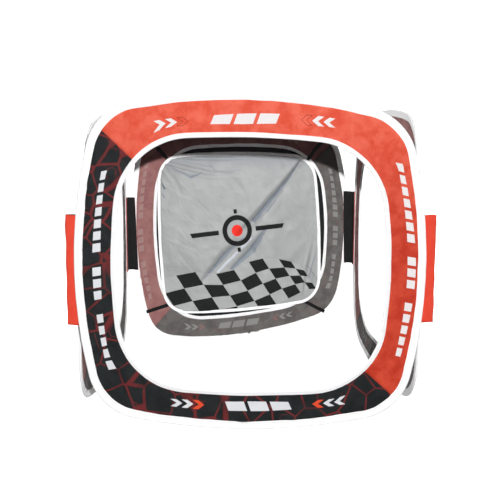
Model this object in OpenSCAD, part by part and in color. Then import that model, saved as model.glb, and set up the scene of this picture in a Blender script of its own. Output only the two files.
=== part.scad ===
// Pop-up cube target: four identical hooped fabric rings hinged at their
// upright edges into an open-topped square, with a silver target panel
// strapped across the inside of the back ring.
// Millimetres, +Z up, front faces -Y. The origin is on the floor under the
// middle of the cube. The rings stand on the small flats under their bottoms.

/* [Ring] */
// Width of one ring over its outer binding
ring_w = 760; // [500:10:1000]
// Height of one ring above the floor
ring_h = 738; // [480:2:980]
// Bow radius of the left and right sides
side_bow_r = 1100; // [800:50:3000]
// Bow radius of the top and bottom
cap_bow_r = 1250; // [800:50:3000]
// Corner radius of the ring's outside
corner_r = 128; // [60:2:180]
// Depth pressed flat where a ring stands on the floor
foot_flat = 0.6; // [0.2:0.1:0.8]
// Slope of the line that the two colour seams lie on, down to the right
seam_angle = 42; // [36:1:50]
// How far that line passes below the ring's middle
seam_drop = 10; // [0:1:20]

/* [Opening] */
// Width of the opening inside the inner binding
open_w = 584; // [360:2:800]
// Height of the opening
open_h = 554; // [340:2:780]
// Bow radius of the opening's top and bottom
open_cap_bow_r = 1800; // [900:50:3000]
// Corner radius of the opening
open_corner_r = 156; // [60:2:220]
// How far the opening sits below the ring's middle
open_drop = 4; // [0:1:20]

/* [Bindings and hoops] */
// Width of the white binding around the outside
binding_w = 18; // [12:1:26]
// Width of the white binding around the opening
open_binding_w = 11; // [10:0.5:20]
// Thickness of the binding over the hoop
bead_t = 6.0; // [5.4:0.2:8]
// Thickness of the binding over the cloth
flap_t = 2.4; // [1.6:0.2:3]
// Thickness of the printed cloth
cloth_t = 0.6; // [0.3:0.1:0.8]
// Thickness of the spring-steel hoop strip
hoop_t = 1.0; // [0.6:0.1:1.2]
// Width of the spring-steel hoop strip
hoop_h = 4.0; // [3:0.2:4.2]
// Length of the sleeve that joins the hoop's ends
sleeve_len = 36; // [20:2:60]

/* [Corner hinges] */
// Distance from the side rings' edges to the front and back rings' middle planes
corner_gap = 30; // [24:1:40]
// Distance of the side rings' middle planes outside the front ring's edges
side_out = 8; // [6:1:20]
// How far the hinge axes lie past the side rings' edges
axis_past = 12; // [8:1:16]
// How far the folded tapes stick out past the front ring
front_fin_w = 27; // [8:1:40]
// How far they stick out past the back ring
back_fin_w = 8; // [8:1:40]
// Length of the hinge tapes
tape_len = 242; // [120:2:400]
// Height of the lower end of the hinge tapes
tape_z = 241; // [100:1:400]
// Thickness of one layer of hinge tape
tape_t = 0.8; // [0.5:0.1:1.2]

/* [Target] */
// Width of the silver target panel
target_w = 560; // [400:5:640]
// Height of the silver target panel
target_h = 522; // [360:2:600]
// Height of the panel's middle above the floor
target_z = 366; // [300:1:420]
// Corner radius of the panel
target_corner_r = 85; // [40:5:140]
// Width of the panel's thin white binding
target_binding_w = 10; // [8:1:14]
// Width of the black corner straps
strap_w = 11; // [10:1:24]
// Angle of the two upper straps above level
upper_strap_angle = 50; // [30:1:60]
// Angle of the two lower straps below level
lower_strap_angle = 17; // [5:1:45]

/* [Hidden] */
$fn = 240;
// Clearance left between two pieces of one ring
fit = 0.1;
half_w = ring_w / 2;
half_h = (ring_h + foot_flat) / 2;
ring_mid_z = half_h - foot_flat;
plane_y = half_w + corner_gap;
side_x = half_w + side_out;
// Level of the middle of a tape's two layers above a ring's middle plane
tape_level = bead_t / 2 + fit + tape_t + fit / 2;
// Hinge axes, in plan
axis_x = side_x - tape_level;
axis_y = half_w + axis_past;
// Wall of the binding outside the hoop
lip = 1.4;
// Tunnel in the binding, wide enough for the joining sleeve
tunnel_w = hoop_t + 1.0;
tunnel_h = hoop_h + 0.8;
// Length of the slope from the bead down to the flap
bead_slope = 3.2;
// Width of a binding from its edge to where it starts to hold the cloth
bead_reach = 8.8;
cloth_grip = binding_w - bead_reach;
open_cloth_grip = open_binding_w - bead_reach;
// Gap between the hoop's two ends, in the sleeve
hoop_end_gap = 1;
// Length of the collars that join a sweep's arcs, and how proud they stand
collar_len = 2;
collar_grow = 0.02;
// Steps along each arc of a cloth edge
cloth_steps = 12;
// Gap on each side of a hinge axis, between the two halves of a tape
hinge_half_gap = 1.1;
// Cloth sheet behind the opening, beyond the opening's edge
sheet_lap = 16;
// Sizes of the target panel's own hoop and binding
target_bead_t = 4.4;
target_flap_t = 2.0;
target_hoop_t = 0.7;
target_hoop_h = 2.8;
target_cloth_t = 0.4;
target_cloth_grip = 4.0;
target_bow_r = 2600;
// Distance of the target panel in front of the back ring's middle plane
target_gap = 6.7;
strap_t = 0.8;
// How far a strap's inner leg runs under the panel
strap_under = 26;
// How far a strap runs on to the outer binding's flap
strap_on_flap = 5;
// Length over which it comes down from the opening's bead to that flap
strap_slope = 12;
upper_strap_from = [240, 232];
lower_strap_from = [240, -243];

white = [0.95, 0.95, 0.94];
steel = [0.62, 0.64, 0.66];
red = [0.92, 0.33, 0.22];
black = [0.14, 0.14, 0.15];
silver = [0.72, 0.74, 0.74];

// ---- Outline: a closed chain of eight tangent arcs ----

// Centre of the upper right corner arc, tangent to the side and top arcs
function corner_centre(a, b, rs, rt, rc) =
  let (ax = a - rs)
  let (by = b - rt)
  let (d = norm([ax, by]))
  let (e = ((rs - rc) * (rs - rc) - (rt - rc) * (rt - rc) + d * d) / (2 * d))
  let (h = sqrt((rs - rc) * (rs - rc) - e * e))
  [ax - ax / d * e - by / d * h, by / d * e - ax / d * h];

// Each arc is [centre, radius, start angle, sweep], anticlockwise
function chain(a, b, rs, rt, rc) =
  let (c = corner_centre(a, b, rs, rt, rc))
  let (s = atan2(c.y, c.x - a + rs))
  let (t = atan2(c.y - b + rt, c.x))
  [
    [[a - rs, 0], rs, -s, 2 * s],
    [[c.x, c.y], rc, s, t - s],
    [[0, b - rt], rt, t, 180 - 2 * t],
    [[-c.x, c.y], rc, 180 - t, t - s],
    [[rs - a, 0], rs, 180 - s, 2 * s],
    [[-c.x, -c.y], rc, 180 + s, t - s],
    [[0, rt - b], rt, 180 + t, 180 - 2 * t],
    [[c.x, -c.y], rc, 360 - t, t - s]
  ];

bottom_arc = 6;

outer_chain = chain(half_w, half_h, side_bow_r, cap_bow_r, corner_r);
open_chain = chain(open_w / 2, open_h / 2, side_bow_r, open_cap_bow_r, open_corner_r);
target_chain = chain(target_w / 2, target_h / 2, target_bow_r, target_bow_r, target_corner_r);

// The chain with its bottom arc parted in the middle, for a hoop's two ends
function parted(arcs) =
  let (b = arcs[bottom_arc])
  let (g = hoop_end_gap / b[1] * 180 / PI)
  [
    for (i = [0:7])
      each (i == bottom_arc
        ? [[b[0], b[1], b[2], (b[3] - g) / 2],
           [b[0], b[1], b[2] + (b[3] + g) / 2, (b[3] - g) / 2]]
        : [arcs[i]])
  ];

// Points along the chain moved outwards by off, for the cloth edges
function edge_points(arcs, off) = [
  for (s = arcs)
    for (k = [0:cloth_steps - 1])
      let (t = s[2] + s[3] * k / cloth_steps)
      s[0] + (s[1] + off) * [cos(t), sin(t)]
];

// Sweeps the section along the arcs. Where two arcs meet, a short collar with
// a hair larger section joins them.
module sweep(arcs, joints) {
  $grow = 0;
  for (s = arcs)
    translate([s[0].x, s[0].y, 0])
      rotate(s[2])
        rotate_extrude(angle = s[3])
          translate([s[1], 0])
            children();
  for (s = joints)
    translate([s[0].x, s[0].y, 0])
      rotate(s[2])
        translate([s[1], 0, 0])
          rotate([90, 0, 0])
            linear_extrude(collar_len, center = true)
              grown()
                children();
}

module grown() {
  $grow = collar_grow;
  children();
}

// Section of a binding that hangs inwards (side = -1) or outwards (side = 1)
module binding_section(side, w, bead, flap, slot, tun_w, tun_h, grip) {
  g = $grow;
  bevel = 1;
  bead_w = tun_w + 2 * lip;
  slot_x = w - grip - 0.4;
  scale([side, 1])
    difference() {
      polygon([
        [-g, -bead / 2 + bevel - g],
        [bevel - g, -bead / 2 - g],
        [bead_w + g, -bead / 2 - g],
        [bead_w + bead_slope + g, -flap / 2 - g],
        [w + g, -flap / 2 - g],
        [w + g, -slot / 2 + g],
        [slot_x + g, -slot / 2 + g],
        [slot_x + g, slot / 2 - g],
        [w + g, slot / 2 - g],
        [w + g, flap / 2 + g],
        [bead_w + bead_slope + g, flap / 2 + g],
        [bead_w + g, bead / 2 + g],
        [bevel - g, bead / 2 + g],
        [-g, bead / 2 - bevel + g]
      ]);
      translate([lip + g, g - tun_h / 2])
        square([tun_w - 2 * g, tun_h - 2 * g]);
    }
}

// The strip in the middle of its tunnel
module hoop_section(side, t, h, tun_w) {
  g = $grow;
  translate([side * (lip + tun_w / 2) - t / 2 - g, -h / 2 - g])
    square([t + 2 * g, h + 2 * g]);
}

module sleeve(arcs, side, t, h, tun_w) {
  b = arcs[bottom_arc];
  turn = sleeve_len / b[1] * 180 / PI;
  mid = [b[0], b[1], b[2] + (b[3] - turn) / 2, turn];
  sweep([mid], [])
    difference() {
      hoop_section(side, t + 0.7, h + 0.6, tun_w);
      hoop_section(side, t + fit, h + fit, tun_w);
    }
}

// ---- Pieces of one ring, upright in the XZ plane, outside towards -Y ----

module upright() {
  translate([0, 0, ring_mid_z])
    rotate([90, 0, 0])
      children();
}

module opening_place() {
  translate([0, -open_drop, 0])
    children();
}

module outer_hoop() {
  color(steel)
    upright()
      sweep(parted(outer_chain), outer_chain)
        hoop_section(-1, hoop_t, hoop_h, tunnel_w);
}

module inner_hoop() {
  color(steel)
    upright()
      opening_place()
        sweep(parted(open_chain), open_chain)
          hoop_section(1, hoop_t, hoop_h, tunnel_w);
}

module hoop_sleeves() {
  color(steel)
    upright() {
      sleeve(outer_chain, -1, hoop_t, hoop_h, tunnel_w);
      opening_place()
        sleeve(open_chain, 1, hoop_t, hoop_h, tunnel_w);
    }
}

module outer_binding() {
  slot = cloth_t + 2 * fit;
  color(white)
    difference() {
      upright()
        sweep(outer_chain, outer_chain)
          binding_section(-1, binding_w, bead_t, flap_t, slot, tunnel_w, tunnel_h, cloth_grip);
      translate([-half_w, -bead_t, -2 * foot_flat])
        cube([ring_w, 2 * bead_t, 2 * foot_flat]);
    }
}

module inner_binding() {
  slot = cloth_t + 2 * fit;
  color(white)
    upright()
      opening_place()
        sweep(open_chain, open_chain)
          binding_section(1, open_binding_w, bead_t, flap_t, slot, tunnel_w, tunnel_h,
            open_cloth_grip);
}

// The whole printed band, flat
module band() {
  difference() {
    polygon(edge_points(outer_chain, -bead_reach));
    opening_place()
      polygon(edge_points(open_chain, bead_reach));
  }
}

// Half of the band on one side of the seams: the top and right, or the
// bottom and left, as seen from outside
module band_half(side) {
  // The two halves butt together at the seams
  gap = 0.05;
  far = ring_w;
  upright()
    linear_extrude(cloth_t, center = true)
      intersection() {
        band();
        translate([0, -seam_drop])
          rotate(-seam_angle)
            translate([-far, side > 0 ? gap : -gap - far])
              square([2 * far, far]);
      }
}

module red_panel() {
  color(red)
    band_half(1);
}

module black_panel() {
  color(black)
    band_half(-1);
}

// Sections of one layer of half a hinge tape, in plan. u runs from the ring's
// middle past its edge, n from its middle plane into the cube. near and far
// are the layer's two faces, measured from the tape's middle towards its
// outside. Each half stops just short of the hinge axis.

// On a side ring the layer lies flat on the binding's inside face.
module side_tape_section(near, far) {
  polygon([
    [half_w - binding_w, tape_level - near],
    [axis_y - hinge_half_gap, tape_level - near],
    [axis_y - hinge_half_gap, tape_level - far],
    [half_w - binding_w, tape_level - far]
  ]);
}

// On the front and back rings it runs on past the edge, doubles back on
// itself as a fin, and turns in to the hinge axis.
module fin_tape_section(fin_w, near, far) {
  // Middle of the part that comes back, on top of the part that goes out
  back_level = tape_level + 2 * tape_t + 1.5 * fit;
  tip = half_w + fin_w;
  end = plane_y - axis_y - hinge_half_gap;
  polygon([
    [half_w - binding_w, tape_level - far],
    [tip - tape_t - fit + far, tape_level - far],
    [tip - tape_t - fit + far, back_level + far],
    [axis_x + far, back_level + far],
    [axis_x + far, end],
    [axis_x + near, end],
    [axis_x + near, back_level + near],
    [tip - tape_t - fit + near, back_level + near],
    [tip - tape_t - fit + near, tape_level - near],
    [half_w - binding_w, tape_level - near]
  ]);
}

module half_tape(edge) {
  translate([0, 0, tape_z])
    linear_extrude(tape_len)
      scale([edge, 1])
        children();
}

module red_side_tape(edge) {
  color(red)
    half_tape(edge)
      side_tape_section(fit / 2, fit / 2 + tape_t);
}

module black_side_tape(edge) {
  color(black)
    half_tape(edge)
      side_tape_section(-fit / 2, -fit / 2 - tape_t);
}

module red_fin_tape(edge, fin_w) {
  color(red)
    half_tape(edge)
      fin_tape_section(fin_w, fit / 2, fit / 2 + tape_t);
}

module black_fin_tape(edge, fin_w) {
  color(black)
    half_tape(edge)
      fin_tape_section(fin_w, -fit / 2, -fit / 2 - tape_t);
}

// ---- Places of the four rings ----

module at_front() {
  translate([0, -plane_y, 0])
    children();
}

module at_left() {
  rotate(-90)
    translate([0, -side_x, 0])
      children();
}

module at_right() {
  rotate(90)
    translate([0, -side_x, 0])
      children();
}

module at_back() {
  rotate(180)
    at_front()
      children();
}

module front_outer_hoop() at_front() outer_hoop();
module front_inner_hoop() at_front() inner_hoop();
module front_hoop_sleeves() at_front() hoop_sleeves();
module front_outer_binding() at_front() outer_binding();
module front_inner_binding() at_front() inner_binding();
module front_red_panel() at_front() red_panel();
module front_black_panel() at_front() black_panel();

module left_outer_hoop() at_left() outer_hoop();
module left_inner_hoop() at_left() inner_hoop();
module left_hoop_sleeves() at_left() hoop_sleeves();
module left_outer_binding() at_left() outer_binding();
module left_inner_binding() at_left() inner_binding();
module left_red_panel() at_left() red_panel();
module left_black_panel() at_left() black_panel();

module right_outer_hoop() at_right() outer_hoop();
module right_inner_hoop() at_right() inner_hoop();
module right_hoop_sleeves() at_right() hoop_sleeves();
module right_outer_binding() at_right() outer_binding();
module right_inner_binding() at_right() inner_binding();
module right_red_panel() at_right() red_panel();
module right_black_panel() at_right() black_panel();

module back_outer_hoop() at_back() outer_hoop();
module back_inner_hoop() at_back() inner_hoop();
module back_hoop_sleeves() at_back() hoop_sleeves();
module back_outer_binding() at_back() outer_binding();
module back_inner_binding() at_back() inner_binding();
module back_red_panel() at_back() red_panel();
module back_black_panel() at_back() black_panel();

// ---- Hinge tapes: each ring carries its half as far as the hinge axis ----

module front_ring_left_red_tape() at_front() red_fin_tape(-1, front_fin_w);
module front_ring_left_black_tape() at_front() black_fin_tape(-1, front_fin_w);
module front_ring_right_red_tape() at_front() red_fin_tape(1, front_fin_w);
module front_ring_right_black_tape() at_front() black_fin_tape(1, front_fin_w);

module left_ring_front_red_tape() at_left() red_side_tape(1);
module left_ring_front_black_tape() at_left() black_side_tape(1);
module left_ring_back_red_tape() at_left() red_side_tape(-1);
module left_ring_back_black_tape() at_left() black_side_tape(-1);

module right_ring_front_red_tape() at_right() red_side_tape(-1);
module right_ring_front_black_tape() at_right() black_side_tape(-1);
module right_ring_back_red_tape() at_right() red_side_tape(1);
module right_ring_back_black_tape() at_right() black_side_tape(1);

module back_ring_left_red_tape() at_back() red_fin_tape(1, back_fin_w);
module back_ring_left_black_tape() at_back() black_fin_tape(1, back_fin_w);
module back_ring_right_red_tape() at_back() red_fin_tape(-1, back_fin_w);
module back_ring_right_black_tape() at_back() black_fin_tape(-1, back_fin_w);

// ---- Back sheet and target panel, all on the back ring ----

// Black sheet sewn to the back face of the back ring's inner binding
module black_back_sheet() {
  color(black)
    at_back()
      upright()
        translate([0, 0, bead_t / 2 + fit])
          linear_extrude(cloth_t)
            opening_place()
              polygon(edge_points(open_chain, sheet_lap));
}

// Upright in front of the back ring, its own middle as the origin
module target_place() {
  at_back()
    translate([0, target_gap, target_z])
      rotate([90, 0, 0])
        children();
}

target_tunnel_w = target_hoop_t + 0.9;
target_tunnel_h = target_hoop_h + 0.7;

module target_hoop() {
  color(steel)
    target_place()
      sweep(parted(target_chain), target_chain)
        hoop_section(-1, target_hoop_t, target_hoop_h, target_tunnel_w);
}

module target_hoop_sleeve() {
  color(steel)
    target_place()
      sleeve(target_chain, -1, target_hoop_t, target_hoop_h - fit, target_tunnel_w);
}

module target_binding() {
  slot = target_cloth_t + 2 * fit;
  color(white)
    target_place()
      sweep(target_chain, target_chain)
        binding_section(-1, target_binding_w, target_bead_t, target_flap_t, slot,
          target_tunnel_w, target_tunnel_h, target_cloth_grip - 2.2);
}

module target_silver_face() {
  hidden = target_binding_w - target_cloth_grip + 2.4;
  color(silver)
    target_place()
      linear_extrude(target_cloth_t, center = true)
        polygon(edge_points(target_chain, -hidden));
}

// Distance along dir from p to the ring's corner arc
function reach(p, dir) =
  let (c = outer_chain[1][0])
  let (q = p - [abs(c.x), sign(p.y) * abs(c.y)])
  let (m = q * dir)
  -m + sqrt(m * m - q * q + corner_r * corner_r);

// A strap from under a panel corner, over the opening's binding and the
// cloth, down to the outer binding's flap
module strap(side, from, angle) {
  dir = [cos(angle), sin(angle)];
  end = reach(from, dir) - binding_w + strap_on_flap;
  foot = end - strap_on_flap - strap_t;
  high = -bead_t / 2 - fit;
  low = -flap_t / 2 - fit;
  color(black)
    at_back()
      upright()
        scale([side, 1, 1])
          translate([from.x, from.y, 0])
            rotate(angle)
              rotate([90, 0, 0])
                linear_extrude(strap_w, center = true)
                  polygon([
                    [-strap_under, high],
                    [foot - strap_slope, high],
                    [foot, low],
                    [end, low],
                    [end, low - strap_t],
                    [foot, low - strap_t],
                    [foot - strap_slope, high - strap_t],
                    [-strap_under, high - strap_t]
                  ]);
}

module upper_left_strap() strap(1, upper_strap_from, upper_strap_angle);
module upper_right_strap() strap(-1, upper_strap_from, upper_strap_angle);
module lower_left_strap() strap(1, lower_strap_from, -lower_strap_angle);
module lower_right_strap() strap(-1, lower_strap_from, -lower_strap_angle);

// ---- The part ----

front_outer_hoop();
front_inner_hoop();
front_hoop_sleeves();
front_outer_binding();
front_inner_binding();
front_red_panel();
front_black_panel();

left_outer_hoop();
left_inner_hoop();
left_hoop_sleeves();
left_outer_binding();
left_inner_binding();
left_red_panel();
left_black_panel();

right_outer_hoop();
right_inner_hoop();
right_hoop_sleeves();
right_outer_binding();
right_inner_binding();
right_red_panel();
right_black_panel();

back_outer_hoop();
back_inner_hoop();
back_hoop_sleeves();
back_outer_binding();
back_inner_binding();
back_red_panel();
back_black_panel();

front_ring_left_red_tape();
front_ring_left_black_tape();
front_ring_right_red_tape();
front_ring_right_black_tape();
left_ring_front_red_tape();
left_ring_front_black_tape();
left_ring_back_red_tape();
left_ring_back_black_tape();
right_ring_front_red_tape();
right_ring_front_black_tape();
right_ring_back_red_tape();
right_ring_back_black_tape();
back_ring_left_red_tape();
back_ring_left_black_tape();
back_ring_right_red_tape();
back_ring_right_black_tape();

black_back_sheet();
target_hoop();
target_hoop_sleeve();
target_binding();
target_silver_face();
upper_left_strap();
upper_right_strap();
lower_left_strap();
lower_right_strap();
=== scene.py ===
import math

import bpy
import numpy as np
from mathutils import Matrix, Vector, noise


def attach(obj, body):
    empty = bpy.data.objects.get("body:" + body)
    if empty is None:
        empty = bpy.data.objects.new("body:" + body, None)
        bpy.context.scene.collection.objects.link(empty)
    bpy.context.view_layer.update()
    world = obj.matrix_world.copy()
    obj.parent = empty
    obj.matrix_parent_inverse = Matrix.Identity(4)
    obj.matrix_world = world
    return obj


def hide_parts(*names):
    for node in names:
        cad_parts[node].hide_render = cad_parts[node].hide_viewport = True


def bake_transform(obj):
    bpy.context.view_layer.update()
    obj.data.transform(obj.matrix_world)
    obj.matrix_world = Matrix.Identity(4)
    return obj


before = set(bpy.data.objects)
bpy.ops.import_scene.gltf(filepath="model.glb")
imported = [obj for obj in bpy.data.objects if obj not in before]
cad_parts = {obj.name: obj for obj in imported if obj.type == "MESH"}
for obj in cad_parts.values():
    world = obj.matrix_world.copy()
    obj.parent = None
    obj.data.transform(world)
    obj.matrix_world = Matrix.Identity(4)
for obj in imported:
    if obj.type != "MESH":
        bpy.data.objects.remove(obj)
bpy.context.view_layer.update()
scene = bpy.context.scene

# ---------------- sizes, in metres, as in the CAD source

PLANE, SIDE_PLANE = 0.410, 0.388     # the rings' middle planes from the cube's middle
HALF_W, HALF_H = 0.380, 0.3693
MID_Z = 0.3687
# Outlines: half width, half height, then the radii of the sides, of the top and bottom, and of the corners
RING_ARCS = (HALF_W, HALF_H, 1.100, 1.250, 0.128)
OPEN_ARCS = (0.292, 0.277, 1.100, 1.800, 0.156)
TARGET_ARCS = (0.280, 0.261, 2.600, 2.600, 0.085)
OPEN_DROP = 0.004                    # how far the opening's middle lies below the ring's
BINDING_W, OPEN_BINDING_W, TARGET_BINDING_W = 0.018, 0.011, 0.010
BEAD_T, FLAP_T, CLOTH_T = 0.006, 0.0024, 0.0006
BEAD_REACH = 0.0088                  # how far inside each binding the cloth's edge is
TAPE_Z, TAPE_LEN, TAPE_T = 0.241, 0.242, 0.0008
AXIS_X, AXIS_Y = 0.38405, 0.392      # the hinge axes
FIN = 0.027
TARGET_Z, TARGET_N = 0.366, 0.0067   # the target's middle: its height, and inwards of the back ring's plane
STRAP_W, STRAP_T = 0.011, 0.0010
SEAM_SLOPE, SEAM_DROP = math.tan(math.radians(42)), 0.010
SHEET_LAP = 0.016                    # how far the back sheet reaches past the opening

RINGS = ("front", "left", "right", "back")


# ---------------- outlines

def arc_chain(a, b, side_r, cap_r, corner_r):
    """Eight tangent arcs (centre x, centre y, radius, start, sweep), anticlockwise from the right side."""
    ax, by = a - side_r, b - cap_r
    d = math.hypot(ax, by)
    e = ((side_r - corner_r) ** 2 - (cap_r - corner_r) ** 2 + d * d) / (2 * d)
    h = math.sqrt((side_r - corner_r) ** 2 - e * e)
    cx, cy = ax - ax / d * e - by / d * h, by / d * e - ax / d * h
    s = math.atan2(cy, cx - a + side_r)
    t = math.atan2(cy - b + cap_r, cx)
    pi = math.pi
    return [
        (a - side_r, 0, side_r, -s, 2 * s),
        (cx, cy, corner_r, s, t - s),
        (0, b - cap_r, cap_r, t, pi - 2 * t),
        (-cx, cy, corner_r, pi - t, t - s),
        (side_r - a, 0, side_r, pi - s, 2 * s),
        (-cx, -cy, corner_r, pi + s, t - s),
        (0, cap_r - b, cap_r, pi + t, pi - 2 * t),
        (cx, -cy, corner_r, 2 * pi - t, t - s),
    ]


def split_at_seam(chain, drop=0.0):
    """The chain with its two seam corners split where they cross the line that the seams lie on."""
    def off(arc, k):
        a = arc[3] + arc[4] * k
        return (arc[0] + arc[2] * math.cos(a)) * SEAM_SLOPE + arc[1] + arc[2] * math.sin(a) - drop + SEAM_DROP
    out = []
    for i, arc in enumerate(chain):
        if i not in (3, 7):
            out.append(arc)
            continue
        lo, hi = 0.0, 1.0
        for _ in range(40):
            mid = (lo + hi) / 2
            if (off(arc, mid) > 0) == (off(arc, 0) > 0):
                lo = mid
            else:
                hi = mid
        out.append((*arc[:3], arc[3], arc[4] * lo))
        out.append((*arc[:3], arc[3] + arc[4] * lo, arc[4] * (1 - lo)))
    return out


def sample(chain, counts, off=0.0):
    """Points and outward normals along the chain, counts[i] steps on arc i, moved outwards by off."""
    ang, cen, rad = [], [], []
    for (cx, cy, r, start, sweep), n in zip(chain, counts):
        k = np.arange(n) / n
        ang.append(start + sweep * k)
        cen.append(np.tile([cx, cy], (n, 1)))
        rad.append(np.full(n, r))
    ang, cen, rad = np.concatenate(ang), np.concatenate(cen), np.concatenate(rad)
    nrm = np.stack([np.cos(ang), np.sin(ang)], 1)
    return cen + nrm * (rad + off)[:, None], nrm


def counts_for(chain, step):
    return [max(4, round(abs(a[2] * a[4]) / step)) for a in chain]


def along(points, closed=True):
    """Distance along a line of points."""
    nxt = np.roll(points, -1, 0) if closed else points[1:]
    d = np.linalg.norm(nxt - (points if closed else points[:-1]), axis=1)
    return np.concatenate([[0], np.cumsum(d)])


RING_CHAIN = split_at_seam(arc_chain(*RING_ARCS))
OPEN_CHAIN = split_at_seam(arc_chain(*OPEN_ARCS), OPEN_DROP)
TARGET_CHAIN = arc_chain(*TARGET_ARCS)
RING_COUNTS = counts_for(RING_CHAIN, 0.0052)
DROP = np.array([0, -OPEN_DROP])


# ---------------- smooth noise

def wavy(seed, count, low, high):
    """A smooth function of two arrays: waves with lengths from low to high, about -1 to 1."""
    r = np.random.default_rng(seed)
    length = np.exp(r.uniform(math.log(low), math.log(high), count))
    turn, phase = r.uniform(0, 2 * math.pi, (2, count))
    size = length / length.max()

    def at(x, y):
        x, y = np.asarray(x, float), np.asarray(y, float)
        k = 2 * math.pi / length
        total = sum(
            size[i] * np.sin(k[i] * (x * math.cos(turn[i]) + y * math.sin(turn[i])) + phase[i])
            for i in range(count)
        )
        return total / math.sqrt((size ** 2).sum() / 2) / 2
    return at


def bump(x, lo, hi):
    """Smooth step from 0 at lo to 1 at hi."""
    t = np.clip((np.asarray(x, float) - lo) / (hi - lo), 0, 1)
    return t * t * (3 - 2 * t)


# ---------------- how each ring's cloth is pulled out of true

# How far each corner is pulled, as (across, up), in the order upper right, upper left, lower left, lower right,
# seen from outside the ring
CORNER_PULL = {
    "front": ((0.0041, 0.0012), (-0.0047, 0.0160), (-0.0097, 0.0053), (0.0035, -0.0025)),
    "left": ((-0.020, -0.018), (0.0, 0.006), (0.0, -0.002), (0.004, 0.004)),
    "right": ((0.0, 0.002), (-0.001, 0.004), (0.001, -0.004), (0.0, 0.006)),
    "back": ((-0.0031, 0.0102), (0.0192, 0.0147), (0.0048, 0.0480), (-0.0225, -0.0255)),
}
TARGET_PULL = ((0.0031, 0.0078), (0.0225, 0.0131), (0.0025, 0.0196), (-0.0121, -0.0140))
PULL_AT, TARGET_PULL_AT = (0.300, 0.290), (0.230, 0.210)     # (across, up) of the corners those pulls are for
# The side rings lean in towards the back, and the back ring's two sides bow out to leave them room
SIDE_IN = {"left": 0.0035, "right": 0.0050}
SIDE_TILT = {"left": 0.0115, "right": 0.0100}
BACK_IN = 0.013
BACK_BOW = 0.012
WAVE_DEPTH = 0.0022


def bilinear(pull, at, u, v):
    """How far a point is pulled, from the pulls of the four corners."""
    a, b = u / at[0], v / at[1]
    w = ((1 + a) * (1 + b) / 4, (1 - a) * (1 + b) / 4, (1 - a) * (1 - b) / 4, (1 + a) * (1 - b) / 4)
    return (sum(w[i] * pull[i][k] for i in range(4)) for k in (0, 1))


RING_WAVE = {r: wavy(11 + i, 5, 0.5, 1.1) for i, r in enumerate(RINGS)}


def pulled(ring, u, v, n):
    """A ring's point (across, up from its middle, inwards) after the cloth's pull."""
    du, dv = bilinear(CORNER_PULL[ring], PULL_AT, u, v)
    wave = WAVE_DEPTH * RING_WAVE[ring](u, v) * (1 - bump(np.abs(u), 0.25, HALF_W))
    if ring in ("left", "right"):
        back = -u if ring == "left" else u
        lean = BACK_IN - SIDE_IN[ring] - SIDE_TILT[ring] * v / 0.37
        wave = wave + BACK_IN - lean * np.clip((HALF_W - back) / (2 * HALF_W), 0, 1)
    elif ring == "back":
        wave = wave - BACK_BOW * bump(np.abs(u), 0.22, HALF_W)
    return u + du, v + dv, n + wave


def outward(ring, points):
    """World points from a ring's own (across, up, inwards)."""
    u, v, n = points[:, 0], points[:, 1], points[:, 2]
    z = MID_Z + v
    if ring == "front":
        return np.stack([u, n - PLANE, z], 1)
    if ring == "left":
        return np.stack([n - SIDE_PLANE, -u, z], 1)
    if ring == "right":
        return np.stack([SIDE_PLANE - n, u, z], 1)
    return np.stack([-u, PLANE - n, z], 1)


def ring_lift(ring):
    """How far a ring is moved up, so that its lowest edge is 0.4 mm below the floor, where it is pressed flat."""
    p, _ = sample(RING_CHAIN, RING_COUNTS)
    _, v, _ = pulled(ring, p[:, 0], p[:, 1], np.zeros(len(p)))
    return -(MID_Z + v.min()) - 0.0004


LIFT = {r: ring_lift(r) for r in RINGS}


def placed(ring, u, v, n):
    """World points of a ring's points, standing on the floor."""
    u, v, n = pulled(ring, np.asarray(u, float), np.asarray(v, float), np.asarray(n, float))
    p = outward(ring, np.stack([u.ravel(), v.ravel() + LIFT[ring], n.ravel()], 1))
    p[:, 2] = np.maximum(p[:, 2], 0.0)
    return p
def on_ring(ring):
    """A function that places an array of a ring's points (across, up, inwards)."""
    return lambda q: placed(ring, *q.T)


def two_faces(place, u, v, n, thick):
    """Grids of world points on the outside and the inside of a sheet, from grids for its middle."""
    return [place(np.stack([u.ravel(), v.ravel(), (n + h).ravel()], 1)).reshape(*u.shape, 3)
            for h in (-thick / 2, thick / 2)]

# ---------------- mesh building

def mesh_object(name, points, faces, materials, slots=None, uvs=None, smooth=True):
    mesh = bpy.data.meshes.new(name)
    mesh.from_pydata([tuple(p) for p in points], [], [tuple(int(i) for i in f) for f in faces])
    for m in materials:
        mesh.materials.append(m)
    if slots is not None:
        mesh.polygons.foreach_set("material_index", np.asarray(slots, np.int32))
    loops = np.zeros(len(mesh.loops), np.int32)
    mesh.loops.foreach_get("vertex_index", loops)
    for uv_name, per_point in (uvs or {}).items():
        layer = mesh.uv_layers.new(name=uv_name)
        layer.data.foreach_set("uv", np.asarray(per_point, np.float32)[loops].ravel())
    mesh.polygons.foreach_set("use_smooth", np.full(len(mesh.polygons), smooth))
    mesh.validate()
    mesh.update()
    ob = bpy.data.objects.new(name, mesh)
    scene.collection.objects.link(ob)
    return ob


def grid_faces(rows, cols, wrap_rows=False, wrap_cols=False, start=0, flip=False):
    """Quads of a rows x cols grid of points numbered row by row."""
    i = np.arange(rows if wrap_rows else rows - 1)
    j = np.arange(cols if wrap_cols else cols - 1)
    i, j = (x.ravel() for x in np.meshgrid(i, j, indexing="ij"))
    i2, j2 = (i + 1) % rows, (j + 1) % cols
    quads = np.stack([i * cols + j, i2 * cols + j, i2 * cols + j2, i * cols + j2], 1) + start
    return quads[:, ::-1] if flip else quads


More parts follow.
